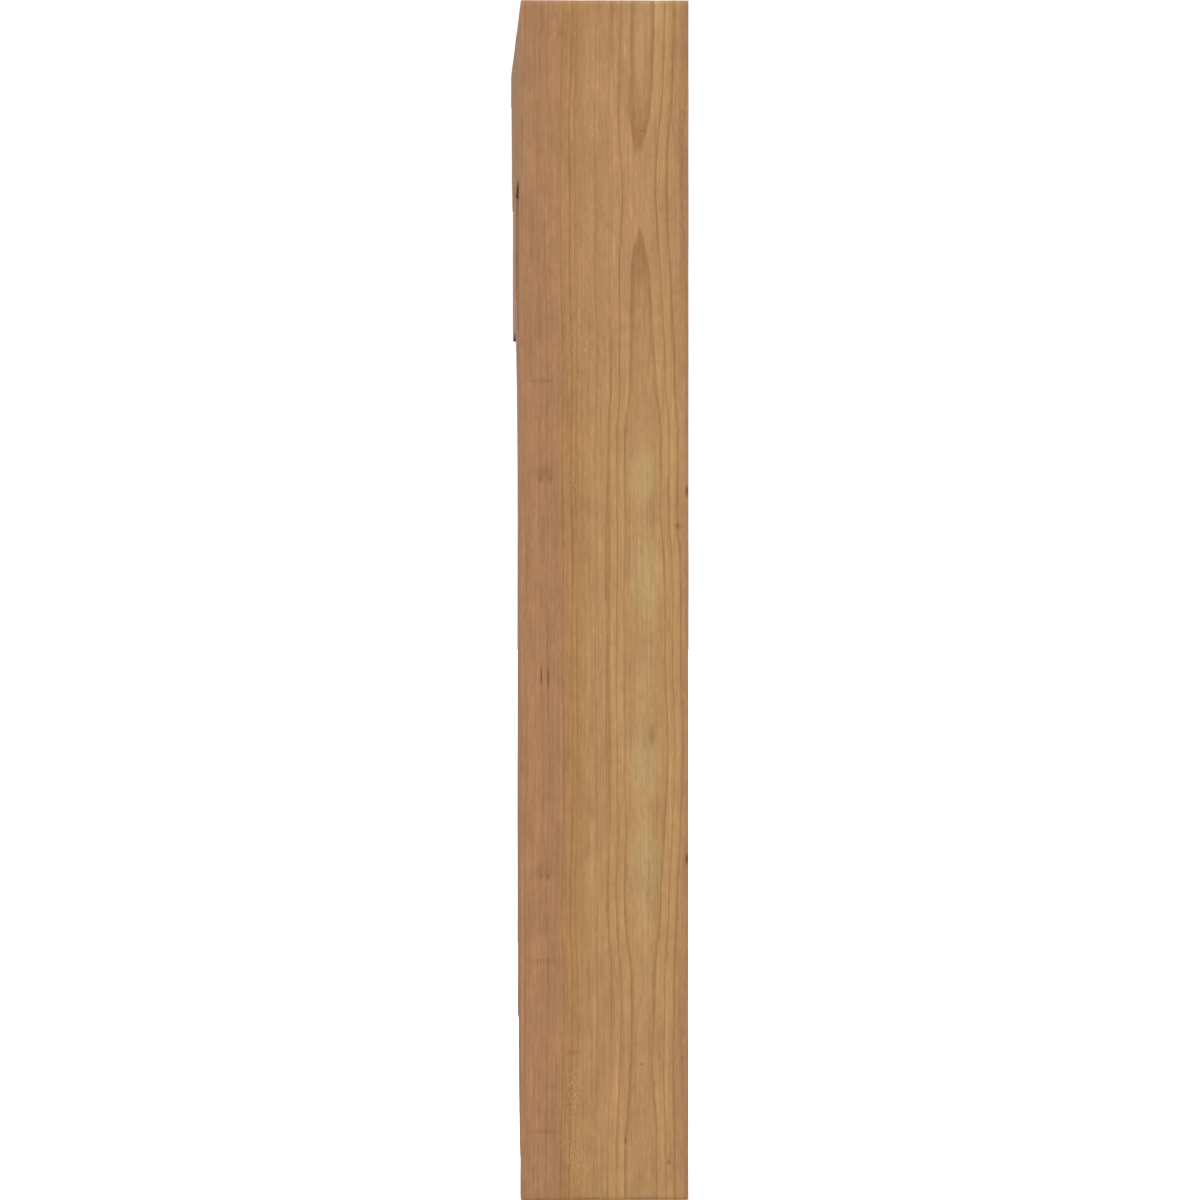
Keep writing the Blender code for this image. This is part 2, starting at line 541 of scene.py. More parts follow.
def band_of(tree, offset, look):
    """The colour of the wood at a distance from the pith, and how many flecks it holds."""
    band = add(tree, "ShaderNodeValToRGB")
    while len(band.color_ramp.elements) < len(look["bands"]):
        band.color_ramp.elements.new(0.5)
    for element, (place, colour, flecks) in zip(band.color_ramp.elements, look["bands"]):
        element.position = place / look["band_span"]
        element.color = (*screen(*colour)[:3], flecks)
    plug(tree, band.inputs["Fac"], maths(tree, "DIVIDE", offset, look["band_span"]))
    return band.outputs["Color"], band.outputs["Alpha"]


def mark_mask(tree, position, centre, half_size):
    """How deep inside one mark a point lies, from 0 to 1."""
    return group(tree, MARK_GROUP, Position=position, Centre=centre, Half_Size=half_size)["Mask"]


def cluster_of(tree, position, look):
    """How closely the flecks crowd together at a point."""
    cluster = 0.0
    for centre, half_size in look["fleck_clusters"]:
        mask = mark_mask(tree, position, centre, half_size)
        cluster = maths(tree, "MULTIPLY_ADD", mask, CLUSTER_SHARE, cluster)
    return cluster


def with_marks(tree, position, colour, look):
    """The band's colour with each mark mixed over it in turn."""
    for centre, half_size, mark_colour, strength in look["marks"]:
        amount = maths(tree, "MULTIPLY", mark_mask(tree, position, centre, half_size), strength)
        colour = mixed(tree, amount, colour, screen(*mark_colour))
    return colour


def latewood_of(tree, position, rings, cloud, look):
    """The latewood at a point: patchy everywhere, and thin where the rings stay faint."""
    patch = remap(tree, cloud, *PATCH_RANGE, *PATCHES, soft=False)
    late = maths(tree, "MULTIPLY", rings["Latewood"], patch)
    for centre, half_size, missing in look["faint_places"]:
        mask = mark_mask(tree, position, centre, half_size)
        late = maths(tree, "MULTIPLY", late, maths(tree, "MULTIPLY_ADD", mask, -missing, 1.0))
    return late


print("band and mark helpers ready")

# %% [markdown]
# ### Putting the timber together
# Base Color is built up in the order in which real wood gets it: band, marks, latewood, the light and
# dark of the fibres, flecks, end grain and wear. Fibres and latewood stand a little proud, because
# the soft wood between them shrinks more, so the same masks feed a Bump node. Bare wood is matt, so
# its gloss is low. The grain runs up the post and the brace and out along the beam, so a Mapping node
# first lays each timber's grain along Z.

# %% Timber material
# The part of each noise that is used, and the tone or roughness at its two ends.
RING_TONES = (0.0, 1.0, 0.97, 1.03)
STREAK_TONES = (0.35, 0.65, 0.78, 1.22)
CLOUD_TONES = (0.25, 0.75, 0.90, 1.10)
ROUGHNESS = (0.3, 0.7, 0.68, 0.58)
END_GRAIN_ROUGHER = 0.2
FLECK_SHARE = 0.4
END_GRAIN_SHARE = 0.75
WORN_SHARE = 0.35
# Heights in metres.
FIBRE_HEIGHT = 0.0001
LATEWOOD_HEIGHT = 0.00006
SAW_HEIGHT = 0.00004
BUMP_STRENGTH = 0.5


def shade_of(tree, rings, fibres):
    """How much lighter or darker than its band a point is."""
    tone = remap(tree, rings["Ring Tone"], *RING_TONES, soft=False)
    streak = remap(tree, fibres["Streak"], *STREAK_TONES, soft=False)
    cloud = remap(tree, fibres["Cloud"], *CLOUD_TONES, soft=False)
    return maths(tree, "MULTIPLY", maths(tree, "MULTIPLY", tone, streak), cloud)


def relief_of(tree, rings, fibres, surface):
    """The normal of a surface with latewood, fibres and saw lines standing proud."""
    height = maths(tree, "MULTIPLY", fibres["Streak"], FIBRE_HEIGHT)
    height = maths(tree, "MULTIPLY_ADD", rings["Latewood"], LATEWOOD_HEIGHT, height)
    height = maths(tree, "MULTIPLY_ADD", surface["Saw Lines"], SAW_HEIGHT, height)
    return made(tree, "ShaderNodeBump", {"Height": height, "Distance": 1.0, "Strength": BUMP_STRENGTH})


def timber(name, look):
    """Sawn softwood. look gives the pith, the rings, the colours and any marks of one timber."""
    material = bpy.data.materials.new(name)
    material.use_nodes = True
    tree = material.node_tree
    shader = tree.nodes["Principled BSDF"]
    coords = add(tree, "ShaderNodeTexCoord").outputs
    position = made(tree, "ShaderNodeMapping",
                    {"Vector": coords["Object"], "Rotation": look["turn"], "Location": look["shift"]})

    offset, rings = rings_of(tree, position, look)
    colour, flecks = band_of(tree, offset, look)
    fibres = group(tree, FIBRE_GROUP, Position=position, Fleck_Amount=flecks,
                   Fleck_Cluster=cluster_of(tree, position, look))
    arris = add(tree, "ShaderNodeAttribute", attribute_name="arris").outputs["Fac"]
    surface = group(tree, SURFACE_GROUP, Position=coords["Object"], Normal=coords["Normal"],
                    Grain=look["grain"], Arris=arris)

    colour = with_marks(tree, position, colour, look)
    late = latewood_of(tree, position, rings, fibres["Cloud"], look)
    colour = mixed(tree, late, colour, screen(*look["latewood"]), "MULTIPLY")
    colour = scaled(tree, colour, shade_of(tree, rings, fibres))
    pale = maths(tree, "MULTIPLY", fibres["Fleck"], FLECK_SHARE)
    colour = mixed(tree, pale, colour, screen(*look["fleck_colour"]))
    end_grain = maths(tree, "MULTIPLY", surface["End Grain"], END_GRAIN_SHARE)
    colour = mixed(tree, end_grain, colour, screen(*look["end_grain"]), "MULTIPLY")
    worn = maths(tree, "MULTIPLY", surface["Wear"], WORN_SHARE)
    colour = mixed(tree, worn, colour, screen(*look["worn"]))
    plug(tree, shader.inputs["Base Color"], colour)

    rough = remap(tree, fibres["Streak"], *ROUGHNESS, soft=False)
    rough = maths(tree, "MULTIPLY_ADD", surface["End Grain"], END_GRAIN_ROUGHER, rough)
    plug(tree, shader.inputs["Roughness"], rough)
    shader.inputs["Specular IOR Level"].default_value = look["gloss"]
    plug(tree, shader.inputs["Normal"], relief_of(tree, rings, fibres, surface))
    return material


print("timber material ready")

# %% [markdown]
# ## The post's wood
# Most of the picture is this face, so its figure is given one place at a time. The pith lay behind the wall
# face, a little over a quarter of the way in from the right. It wandered by a few millimetres along
# its length, and where a ring only just touches the face, its two lines close into a point. So the
# widths of the rings and the wander of the pith are named here, with the picture's columns and rows
# saying where.

# %% Places on the wall face
PIXELS_PER_METRE = 1199.0
CENTRE_COLUMN = 604.7
CENTRE_ROW = 600.0


def on_face(column, row, depth=0.0):
    """The place on the wall face that a pixel of the photograph shows, or a point that far inside it."""
    return ((CENTRE_COLUMN - column) / PIXELS_PER_METRE, -depth, (CENTRE_ROW - row) / PIXELS_PER_METRE)


def up_the_post(by_row):
    """Turn (row of the photograph, value) pairs into (share of the way up, value) pairs."""
    return sorted(((CENTRE_ROW - row) / PIXELS_PER_METRE + 0.5, value) for row, value in by_row)


print("one millimetre is", round(PIXELS_PER_METRE / 1000, 2), "pixels of the photograph")

# %% [markdown]
# ### Its rings
# The figure's middle line is where the face comes nearest to the pith. It bends a little from the foot
# to the top, and so does the distance between the face and the ring whose points show.

# %% Rings of the post
PITH_BEHIND_FACE = 0.090
# Where the figure's middle line runs, as (row, column) from the foot up.
FIGURE_COLUMN_BY_ROW = [
    (1199, 641), (1060, 642), (980, 643), (910, 642.5), (825, 645), (750, 646), (660, 644.5), (570, 645),
    (500, 643), (385, 643), (310, 641), (232, 639), (152, 638.5), (80, 641), (0, 643),
]
# How far the face lies inside the ring whose points show, in metres. Below zero it is past that ring.
NEARNESS_BY_ROW = [
    (1199, 0.0013), (1150, 0.0012), (1060, 0.00064), (980, 0.0008), (910, 0.00147), (825, 0.0017),
    (750, 0.0020), (660, 0.00194), (570, 0.0017), (500, 0.0014), (450, 0.0015), (385, 0.00085),
    (310, 0.00064), (285, 0.00056), (266, 0.00044), (249, 0.00024), (241, 0.00016), (232, 0.00011),
    (218, 0.0), (192, -0.0001), (166, 0.0), (152, 0.00011), (143, 0.00016), (135, 0.00024),
    (118, 0.00044), (100, 0.00056), (80, 0.00064), (0, 0.00068),
]
# Where each ring ends, from the pith out, in metres beyond the ring whose points show.
RING_EDGES = (
    -0.0049, -0.0024, 0.0, 0.00136, 0.0034, 0.0074, 0.015, 0.0172, 0.0215, 0.0297, 0.0335, 0.043, 0.050,
)
# Each ring's latewood, from the pith out: where in the ring it starts and how dark it gets.
RING_HABITS = [
    (0.78, 0.9), (0.78, 0.9), (0.70, 1.2), (0.55, 1.2), (0.85, 0.6), (0.88, 0.6),
    (0.60, 1.1), (0.78, 0.8), (0.80, 0.5), (0.78, 0.45), (0.80, 0.45), (0.78, 0.8),
]
print("rings given a width:", len(RING_EDGES) - 1)

# %% [markdown]
# ### Its colours and marks
# The left side is rosy, the part beside it golden and the rest tan. Over those bands lie broad changes
# of tone, pale and dark lines along the grain, four pale lenses, and small streaks, knots and specks.

# %% Colours and marks of the post
ROSY = (172, 127, 91)
ROSY_LIGHT = (186, 142, 108)
ROSY_EDGE = (170, 126, 89)
PINKISH = (182, 137, 97)
GOLDEN = (181, 139, 93)
AMBER = (174, 131, 85)
TAN = (185, 144, 97)
PALE = (190, 158, 109)
PINK_PALE = (196, 154, 114)
DARK = (118, 76, 46)
# Painted shade: a near black that stands in for the shade in the recess over the window.
PAINTED_SHADE = (30, 13, 4)
BROWN = (150, 108, 72)
OLIVE = (150, 118, 72)
ORANGE = (184, 124, 80)
# Each mark: column and row, half its width and height in metres, colour and strength.
FACE_MARKS = [
    # Broad changes of tone.
    (694, 600, 0.014, 2.0, ROSY_EDGE, 0.9), (694, 150, 0.027, 0.26, ROSY_EDGE, 0.8),
    (694, 1060, 0.027, 0.18, ROSY_EDGE, 0.8), (590, 0, 0.050, 0.030, AMBER, 0.5),
    (650, 6, 0.020, 0.026, PALE, 0.4), (568, 60, 0.005, 0.070, AMBER, 0.6),
    (638.5, 116, 0.0078, 0.024, BROWN, 0.45), (638.5, 268, 0.0078, 0.028, BROWN, 0.45),
    (610, 190, 0.070, 0.240, PINKISH, 0.65), (612, 1045, 0.050, 0.110, PINKISH, 0.6),
    (645, 760, 0.010, 0.45, PALE, 0.30),
    # Lines and strips along the grain.
    (545.5, 120, 0.0011, 0.090, ROSY_LIGHT, 0.8), (546, 215, 0.0011, 0.030, ROSY_LIGHT, 0.8),
    (611.5, 98, 0.0009, 0.040, PALE, 0.6), (614.5, 145, 0.0009, 0.035, PALE, 0.6),
    (640, 50, 0.006, 0.045, PINK_PALE, 0.7), (614, 245, 0.0009, 0.030, PALE, 0.6),
    (625, 52, 0.0009, 0.010, PALE, 0.7), (606.5, 690, 0.0016, 0.26, DARK, 0.32),
    (587, 60, 0.0009, 0.060, PALE, 0.4), (604, 690, 0.0009, 0.050, PALE, 0.5),
    (590, 1075, 0.0012, 0.045, PALE, 0.4), (633, 1060, 0.0009, 0.030, PALE, 0.5),
    # Pale lenses.
    (643, 478, 0.0200, 0.036, PALE, 0.80), (645, 577, 0.0210, 0.050, PALE, 0.75),
    (644, 762, 0.0200, 0.038, PALE, 0.80), (645, 866, 0.0200, 0.050, PALE, 0.75),
    # Streaks, knots and specks.
    (541.5, 676, 0.0010, 0.012, DARK, 0.9), (548.2, 678, 0.0010, 0.014, DARK, 0.9),
    (543, 473, 0.014, 0.009, BROWN, 0.45), (540.5, 479, 0.002, 0.005, DARK, 0.35),
    (550.5, 480, 0.002, 0.006, DARK, 0.35), (543, 871, 0.014, 0.010, BROWN, 0.45),
    (541, 876, 0.002, 0.004, DARK, 0.35), (548, 877, 0.002, 0.004, DARK, 0.35),
    (542, 381, 0.017, 0.003, BROWN, 0.45), (541, 961, 0.017, 0.004, BROWN, 0.40),
    (542, 1131, 0.017, 0.003, BROWN, 0.45), (687, 491, 0.0020, 0.007, DARK, 0.9),
    (687, 859, 0.0020, 0.007, DARK, 0.9), (678, 526, 0.005, 0.004, BROWN, 0.6),
    (652, 735, 0.0035, 0.012, OLIVE, 0.6), (572, 1052, 0.007, 0.004, BROWN, 0.6),
    (669, 1162, 0.0018, 0.003, DARK, 0.6), (642, 1064, 0.003, 0.0015, DARK, 0.5),
    (625.5, 1140, 0.0012, 0.004, DARK, 0.5), (642, 131, 0.005, 0.001, DARK, 0.35),
    (523, 1034, 0.003, 0.015, ORANGE, 0.7), (524, 14, 0.003, 0.010, ORANGE, 0.6),
]
MARK_DEPTH = 0.006
# Clusters of pale flecks: column and row, half the width and height.
FLECK_CLUSTERS = [
    (585, 410, 0.016, 0.018), (586, 342, 0.006, 0.014), (581, 942, 0.010, 0.017), (586, 996, 0.005, 0.014),
    (597, 130, 0.010, 0.022), (577, 40, 0.005, 0.030), (605, 1032, 0.006, 0.014), (623, 1118, 0.010, 0.014),
    (588, 265, 0.010, 0.020), (568, 660, 0.005, 0.040), (583, 1160, 0.014, 0.018), (667, 66, 0.004, 0.014),
    (541, 424, 0.018, 0.016), (541, 540, 0.016, 0.020), (575, 1090, 0.008, 0.030), (672, 560, 0.006, 0.060),
]
# Where the rings stay faint: column and row, half the width and height, how much of the line is missing.
FAINT_PLACES = [(609, 190, 0.008, 0.21, 0.75), (609, 1080, 0.008, 0.14, 0.6), (625, 680, 0.007, 0.17, 0.5)]


def post_marks():
    """Place each mark just inside the wall face."""
    return [(on_face(column, row), (half_width, MARK_DEPTH, half_height), colour, strength)
            for column, row, half_width, half_height, colour, strength in FACE_MARKS]


def faint_places():
    """Place each stretch of faint rings just inside the wall face."""
    return [(on_face(column, row), (half_width, MARK_DEPTH, half_height), missing)
            for column, row, half_width, half_height, missing in FAINT_PLACES]


def fleck_clusters():
    """Place each cluster of flecks just inside the wall face."""
    return [(on_face(column, row), (half_width, MARK_DEPTH, half_height))
            for column, row, half_width, half_height in FLECK_CLUSTERS]


print("marks:", len(FACE_MARKS), "fleck clusters:", len(FLECK_CLUSTERS))

# %% [markdown]
# ### All of it in one dictionary
# Every value that sets one timber apart goes into a dictionary, which the material function reads. A
# band is its distance from the pith, its colour and its share of flecks.

# %% Look of the post
POST_LOOK = {
    "turn": (0.0, 0.0, 0.0),
    "shift": (0.0, 0.0, 0.0),
    "grain": (0.0, 0.0, 1.0),
    "pith_x": up_the_post([(row, on_face(column, row)[0]) for row, column in FIGURE_COLUMN_BY_ROW]),
    "pith_x_span": (-0.040, -0.020),
    "pith_y": PITH_BEHIND_FACE,
    "nearness": up_the_post(NEARNESS_BY_ROW),
    "nearness_span": (-0.0005, 0.0025),
    "wander": 0.0006,
    "ripple": 0.0002,
    "ring_edges": RING_EDGES,
    "ring_habits": RING_HABITS,
    "band_span": 0.050,
    "bands": [(0.0, TAN, 0.5), (0.006, TAN, 0.8), (0.009, GOLDEN, 1.0), (0.016, AMBER, 1.0),
              (0.0200, AMBER, 0.8), (0.0230, ROSY, 0.4), (0.050, ROSY, 0.4)],
    "marks": post_marks(),
    "faint_places": faint_places(),
    "fleck_clusters": fleck_clusters(),
    "gloss": 0.09,
    "latewood": (231, 222, 211),
    "fleck_colour": (206, 168, 126),
    "end_grain": (196, 178, 160),
    "worn": (188, 148, 112),
}
print("post look ready, bands:", len(POST_LOOK["bands"]))

# %% [markdown]
# ## The beam's and the brace's wood
# They come from other trees, so their pith lies elsewhere and their tone differs a little. The
# photograph hardly shows them, so their only mark is painted shade on the beam's underside over the window.

# %% Wood of the beam and the brace
def even_rings(width):
    """Two edges are enough for rings of one width, because the count runs on past them."""
    return (0.0, width)


STEADY = [(0.0, 0.0), (0.3, 0.004), (0.6, -0.002), (1.0, 0.002)]
OTHER_TREE = {
    **POST_LOOK,
    "ring_habits": [(0.75, 0.9), (0.75, 0.9)],
    "pith_x_span": (-0.060, 0.060),
    "nearness": STEADY,
    "nearness_span": (-0.01, 0.01),
    "wander": 0.003,
    "ripple": 0.0004,
    "band_span": 0.5,
    "marks": [],
    "faint_places": [],
    "fleck_clusters": [],
}
# Where each pith runs across the timber, and how wide its rings are.
BEAM_PITH = 0.03
BEAM_RING = 0.0036
BRACE_PITH = -0.045
BRACE_RING = 0.0041
BEAM_TURN = (pi / 2, 0.0, 0.0)
BEAM_SHIFT = Vector((0.0, 0.0, 0.35))
# Painted shade: the underside over the window is painted near black for the shade in that recess.
window_ceiling = Vector((0.0, brace_high.y - WINDOW_REACH / 2, beam_low.z))
window_ceiling = Euler(BEAM_TURN).to_matrix() @ window_ceiling + BEAM_SHIFT
PAINTED_SHADE_HALF_SIZE = (WIDTH, 0.010, WINDOW_REACH * 0.55)
BEAM_LOOK = {
    **OTHER_TREE,
    "turn": BEAM_TURN,
    "shift": BEAM_SHIFT,
    # Its one mark is painted shade on the underside over the window.
    "marks": [(window_ceiling, PAINTED_SHADE_HALF_SIZE, PAINTED_SHADE, 1.0)],
    "gloss": 0.045,
    "grain": (0.0, 1.0, 0.0),
    "pith_x": [(place, BEAM_PITH + drift) for place, drift in STEADY],
    "pith_y": -0.58,
    "ring_edges": even_rings(BEAM_RING),
    "bands": [(0.0, AMBER, 0.3), (0.17, AMBER, 0.6), (0.3, AMBER, 0.5), (0.5, GOLDEN, 0.3)],
}
BRACE_LOOK = {
    **OTHER_TREE,
    "shift": (0.013, 0.021, 0.17),
    "gloss": 0.15,
    "pith_x": [(place, BRACE_PITH + drift) for place, drift in STEADY],
    "pith_y": 0.02,
    "ring_edges": even_rings(BRACE_RING),
    "bands": [(0.0, PINKISH, 0.5), (0.15, PINKISH, 0.5), (0.27, ROSY, 0.3), (0.5, PINKISH, 0.5)],
}
timbers = {
    "wall_post": timber("post_wood", POST_LOOK),
    "top_beam": timber("beam_wood", BEAM_LOOK),
    "curved_brace": timber("brace_wood", BRACE_LOOK),
}
print("materials:", [material.name for material in timbers.values()])

# %% [markdown]
# ## A moulded timber
# The post's foot and the beam's tip share one moulding: a square lip on one side, then a quarter
# round back to the full depth. The shape follows a rule, so Geometry Nodes make it. A line's points
# are moved onto the outline by their index, and Curve to Mesh gives the closed outline its thickness.


# %% Moulded timber tree
def with_material(tree, geometry, material):
    """The last step of a tree: real geometry that carries its material."""
    real = made(tree, "GeometryNodeRealizeInstances", {"Geometry": geometry})
    return made(tree, "GeometryNodeSetMaterial", {"Geometry": real, "Material": material})


def outline_place(tree, given):
    """Where on the outline each point of a line belongs: first the quarter round, then four corners."""
    index = made(tree, "GeometryNodeInputIndex")
    radius = maths(tree, "SUBTRACT", given["Depth"], given["Lip"])
    start = maths(tree, "SUBTRACT", maths(tree, "SUBTRACT", given["Length"], given["Step"]), radius)
    last = maths(tree, "SUBTRACT", given["Round Points"], 1.0)
    angle = maths(tree, "MULTIPLY", maths(tree, "DIVIDE", index, last), pi / 2)
    along = maths(tree, "MULTIPLY_ADD", maths(tree, "SINE", angle), radius, start)
    across = maths(tree, "MULTIPLY_ADD", maths(tree, "COSINE", angle), radius, given["Lip"])

    corners = ((given["Length"], given["Lip"]), (given["Length"], 0.0), (0.0, 0.0), (0.0, given["Depth"]))
    choose = add(tree, "GeometryNodeIndexSwitch", data_type="VECTOR")
    while len(choose.index_switch_items) < len(corners):
        choose.index_switch_items.new()
    plug(tree, choose.inputs[0], maths(tree, "SUBTRACT", index, given["Round Points"]))
    for slot, corner in enumerate(corners):
        plug(tree, choose.inputs[slot + 1], combined(tree, *corner))
    is_corner = add(tree, "FunctionNodeCompare", data_type="FLOAT", operation="GREATER_THAN")
    plug(tree, is_corner.inputs[0], index)
    plug(tree, is_corner.inputs[1], maths(tree, "SUBTRACT", given["Round Points"], 0.5))
    ways = {"Switch": is_corner.outputs[0], "False": combined(tree, along, across), "True": choose.outputs[0]}
    return made(tree, "GeometryNodeSwitch", ways, input_type="VECTOR"), len(corners)


def make_timber_tree():
    """A timber of any length with a moulded end, along X and across Y, half its width to each side."""
    tree, given, result = new_tree(
        "moulded_timber", "GeometryNodeTree",
        [("Geometry", GEOMETRY, None), ("Length", FLOAT, 1.0), ("Depth", FLOAT, 0.14),
         ("Width", FLOAT, 0.14), ("Lip", FLOAT, 0.03), ("Step", FLOAT, 0.03),
         ("Round Points", INTEGER, 25), ("Material", MATERIAL, None)],
        [("Geometry", GEOMETRY, None)])
    place, corner_count = outline_place(tree, given)
    line = made(tree, "GeometryNodeCurvePrimitiveLine")
    count = maths(tree, "ADD", given["Round Points"], float(corner_count))
    spaced = made(tree, "GeometryNodeResampleCurve", {"Curve": line, "Count": count})
    outline = made(tree, "GeometryNodeSetPosition", {"Geometry": spaced, "Position": place})
    closed = made(tree, "GeometryNodeSetSplineCyclic", {"Geometry": outline, "Cyclic": True})

    half = maths(tree, "MULTIPLY", given["Width"], 0.5)
    near = combined(tree, z=maths(tree, "MULTIPLY", half, -1.0))
    path = made(tree, "GeometryNodeCurvePrimitiveLine", {"Start": near, "End": combined(tree, z=half)})
    swept = made(tree, "GeometryNodeCurveToMesh", {"Curve": path, "Profile Curve": closed, "Fill Caps": True})
    plug(tree, result["Geometry"], with_material(tree, swept, given["Material"]))
    return tree


TIMBER_TREE = make_timber_tree()
print("moulded timber tree:", len(TIMBER_TREE.nodes), "nodes")

# %% [markdown]
# ## From a sharp prism to a worn timber
# A sharp prism doesn't look like wood. A Bevel eases the arrises, rows of cuts give every face enough
# points, and a second tree moves those points a little: planed faces are never quite flat, and an
# arris is rubbed more in one place than in the next. That tree also stores how sharp each point is.

# %% Wear tree
DIPS_PER_METRE = (11.0, 11.0, 11.0)
DIP_RANGE = (0.3, 0.7)
KNOCKS_PER_METRE = (38.0, 38.0, 38.0)
KNOCK_RANGE = (0.42, 0.72)
# The angle between two faces from which their edge starts to count as an arris, and counts in full.
ARRIS_FROM = radians(4.0)
ARRIS_FULL = radians(12.0)


def make_wear_tree():
    """Uneven faces and rubbed arrises, with how sharp each point is stored for the material."""
    tree, given, result = new_tree(
        "worn_timber", "GeometryNodeTree",
        [("Geometry", GEOMETRY, None), ("Unevenness", FLOAT, 0.00015), ("Rub", FLOAT, 0.00025),
         ("Seed", FLOAT, 0.0), ("Material", MATERIAL, None)],
        [("Geometry", GEOMETRY, None)])
    turn = add(tree, "GeometryNodeInputMeshEdgeAngle").outputs["Unsigned Angle"]
    sharp = remap(tree, turn, ARRIS_FROM, ARRIS_FULL)
    stored = made(tree, "GeometryNodeStoreNamedAttribute",
                  {"Geometry": given["Geometry"], "Name": "arris", "Value": sharp},
                  data_type="FLOAT", domain="POINT")
    arris = made(tree, "GeometryNodeInputNamedAttribute", {"Name": "arris"}, data_type="FLOAT")

    position = made(tree, "GeometryNodeInputPosition")
    place = vectors(tree, "ADD", position, combined(tree, given["Seed"]))
    slow = noise(tree, vectors(tree, "MULTIPLY", place, DIPS_PER_METRE), 1.0)
    quick = noise(tree, vectors(tree, "MULTIPLY", place, KNOCKS_PER_METRE), 2.0)
    dip = maths(tree, "MULTIPLY", remap(tree, slow, *DIP_RANGE), given["Unevenness"])
    rubbed = maths(tree, "MULTIPLY", remap(tree, quick, *KNOCK_RANGE), given["Rub"])
    inward = maths(tree, "MULTIPLY_ADD", rubbed, arris, dip)
    offset = scaled(tree, made(tree, "GeometryNodeInputNormal"), maths(tree, "MULTIPLY", inward, -1.0))
    moved = made(tree, "GeometryNodeSetPosition", {"Geometry": stored, "Offset": offset})
    plug(tree, result["Geometry"], with_material(tree, moved, given["Material"]))
    return tree


WEAR_TREE = make_wear_tree()
print("wear tree:", len(WEAR_TREE.nodes), "nodes")

# %% [markdown]
# ### From a mesh to a finished piece
# What the modifiers make is kept as a plain mesh. That mesh is cut into rows and goes through the wear
# tree. Then the piece takes the place of its solid in the fixed frame and hangs from the frame's root.

# %% Tools that finish a timber
BEVEL_SEGMENTS = 3
BEVEL_FROM = radians(30.0)
SHARP_FROM = radians(35.0)
MERGE_DISTANCE = 0.00001
CUT_DISTANCE = 0.00002
ROW_SPACING = (0.010, 0.010, 0.012)
ROW_MARGIN = 0.0045


def link(obj):
    """Put an object in the scene."""
    bpy.context.scene.collection.objects.link(obj)
    return obj


def run_tree(obj, tree, values):
    """Add a Geometry Nodes modifier and set its named inputs."""
    modifier = obj.modifiers.new(tree.name, "NODES")
    modifier.node_group = tree
    for item in tree.interface.items_tree:
        if item.in_out == "INPUT" and item.name in values:
            modifier[item.identifier] = values[item.name]


def add_bevel(obj):
    """Ease the arrises."""
    bevel = obj.modifiers.new("eased_arris", "BEVEL")
    bevel.width = ARRIS
    bevel.segments = BEVEL_SEGMENTS
    bevel.limit_method = "ANGLE"
    bevel.angle_limit = BEVEL_FROM


def frozen(obj, name):
    """The evaluated object as a plain mesh, and the object it came from removed."""
    graph = bpy.context.evaluated_depsgraph_get()
    mesh = bpy.data.meshes.new_from_object(obj.evaluated_get(graph))
    mesh.name = name
    bpy.data.objects.remove(obj, do_unlink=True)
    return mesh


def cut_rows(mesh):
    """Cut a mesh into rows across X, Y and Z, with one row close to each outer face."""
    work = bmesh.new()
    work.from_mesh(mesh)
    bmesh.ops.remove_doubles(work, verts=work.verts[:], dist=MERGE_DISTANCE)
    bmesh.ops.recalc_face_normals(work, faces=work.faces[:])
    for axis in range(3):
        low = min(vertex.co[axis] for vertex in work.verts) + ROW_MARGIN
        high = max(vertex.co[axis] for vertex in work.verts) - ROW_MARGIN
        rows = ceil((high - low) / ROW_SPACING[axis])
        across = Vector((axis == 0, axis == 1, axis == 2))
        for row in range(rows + 1):
            everything = work.verts[:] + work.edges[:] + work.faces[:]
            place = across * (low + (high - low) / rows * row)
            bmesh.ops.bisect_plane(work, geom=everything, dist=CUT_DISTANCE, plane_co=place, plane_no=across)
    open_edges = sum(not edge.is_manifold for edge in work.edges)
    volume = round(work.calc_volume(signed=True), 5)
    print(mesh.name, "holds", volume, "cubic metres, open edges:", open_edges)
    work.to_mesh(mesh)
    work.free()


def finish_timber(name, mesh, seed):
    """Give a sharp timber its points, its wear and its material, and let it stand for its CAD node."""
    cut_rows(mesh)
    rough = link(bpy.data.objects.new(name + "_rough", mesh))
    run_tree(rough, WEAR_TREE, {"Seed": seed, "Material": timbers[name]})
    mesh = frozen(rough, name + "_timber")
    mesh.shade_smooth()
    mesh.set_sharp_from_angle(angle=SHARP_FROM)
    piece = link(bpy.data.objects.new(name + "_timber", mesh))
    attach(piece, "root")
    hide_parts(name)
    print(piece.name, len(mesh.polygons), "faces")


print("rows are at most", ROW_SPACING, "metres apart")

# %% [markdown]
# ### The post and the beam
# Both come from the moulded timber tree, which draws along X and across Y. The post's X is turned to
# point down and the beam's to point out, so the lip lies on the wall side of one and on top of the other.

# %% Post and beam
ROUND_POINTS = 31


def moulded_mesh(name, length, depth, place):
    """Run the moulded timber tree, ease its arrises and put the result in its place."""
    holder = link(bpy.data.objects.new(name, bpy.data.meshes.new(name)))
    sizes = {"Length": length, "Depth": depth, "Width": WIDTH, "Lip": END_LIP, "Step": END_STEP,
             "Round Points": ROUND_POINTS, "Material": timbers[name]}
    run_tree(holder, TIMBER_TREE, sizes)
    add_bevel(holder)
    mesh = frozen(holder, name + "_sharp")
    mesh.transform(place)
    return mesh


